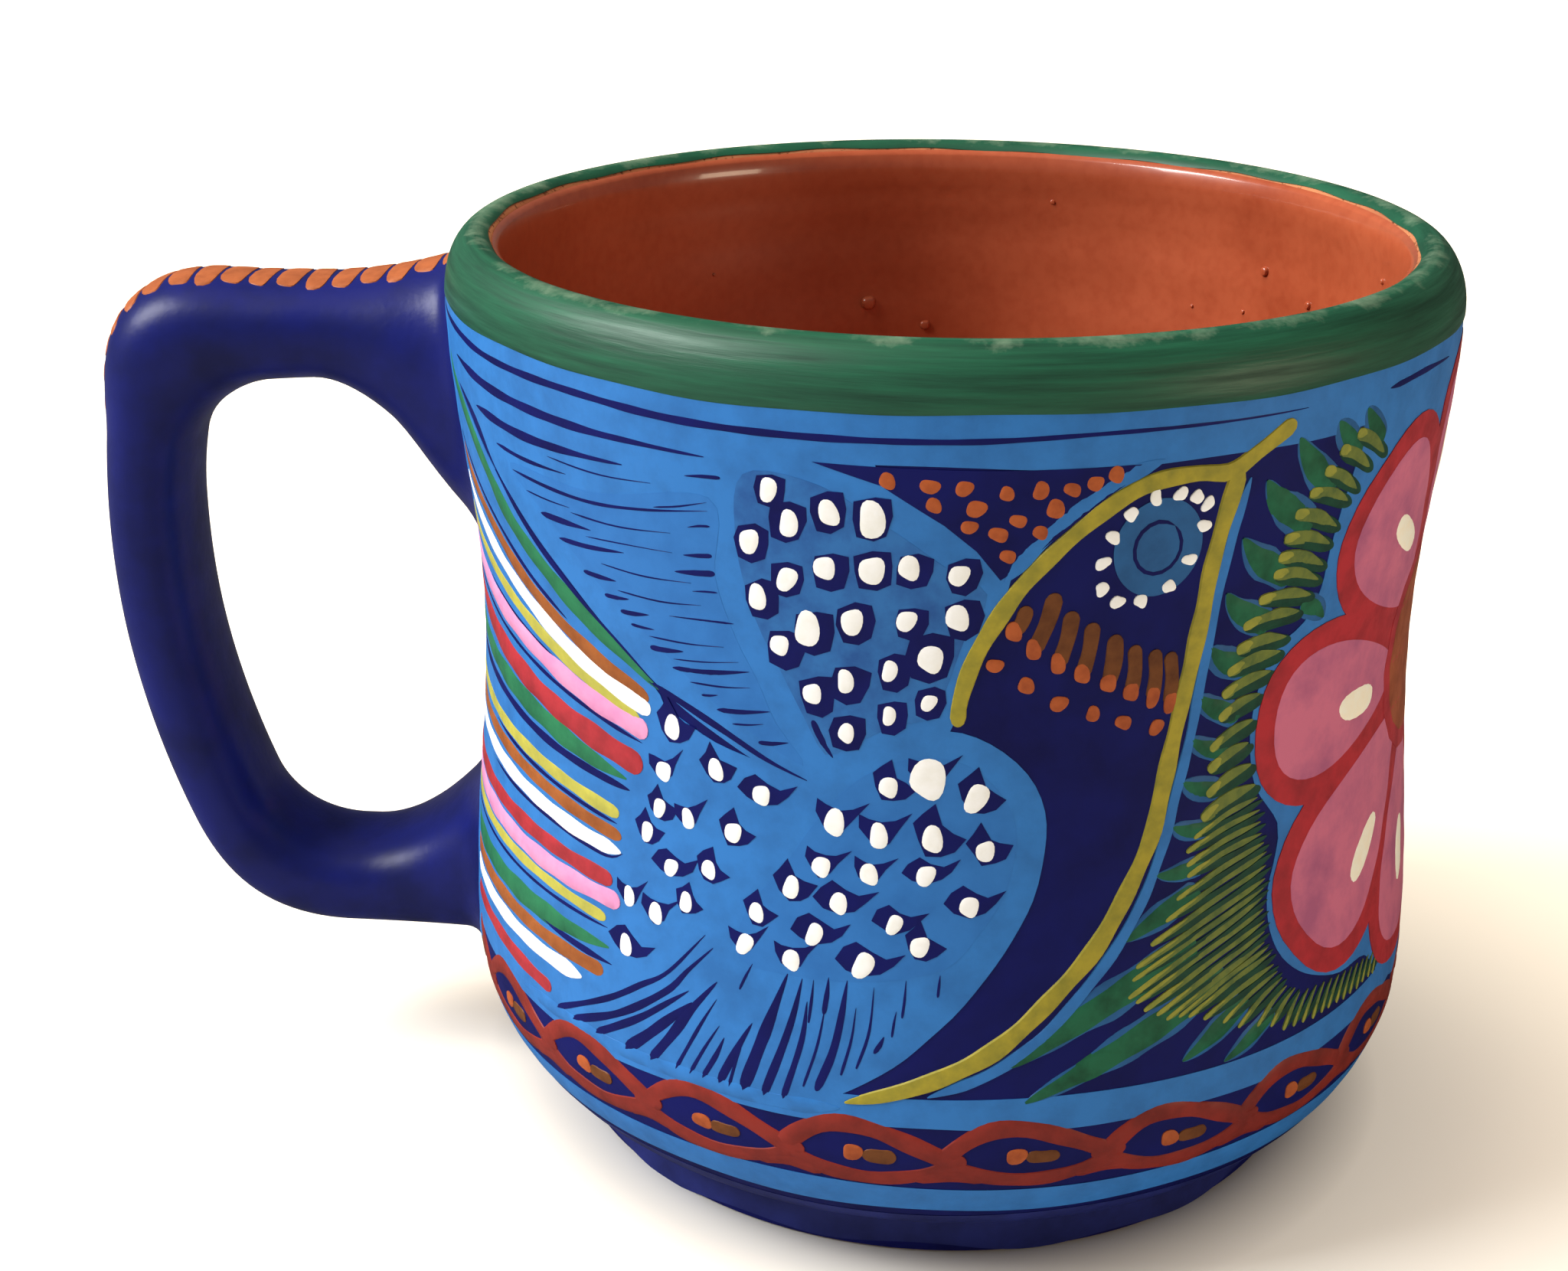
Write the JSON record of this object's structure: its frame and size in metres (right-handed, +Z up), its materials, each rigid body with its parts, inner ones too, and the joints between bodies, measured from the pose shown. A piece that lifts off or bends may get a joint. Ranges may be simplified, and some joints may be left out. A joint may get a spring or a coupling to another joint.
{
  "type": "clay mug",
  "caption": "Hand-thrown clay mug with a rounded belly, turned foot, soft lip and a squared strap handle, painted outside and glazed inside, for hot drinks.",
  "frame": {"origin": "centre of the flat base, on the table", "axes": "+Z up along the cup's axis, handle towards -X"},
  "size_m": [0.1271, 0.092, 0.0858],
  "materials": {
    "red_clay": "matte fired earthenware",
    "painted_handle": "satin paint on clay",
    "slip": "matte",
    "clear_glaze": "gloss",
    "blue_ground": "satin paint",
    "green_band": "satin paint"
  },
  "bodies": {
    "root": {"cup_body": "red_clay", "handle": "painted_handle", "upper_slip_joint": "slip", "lower_slip_joint": "slip", "glaze_lining": "clear_glaze", "ground_coat": "blue_ground", "rim_coat": "green_band"}
  },
  "joints": []
}
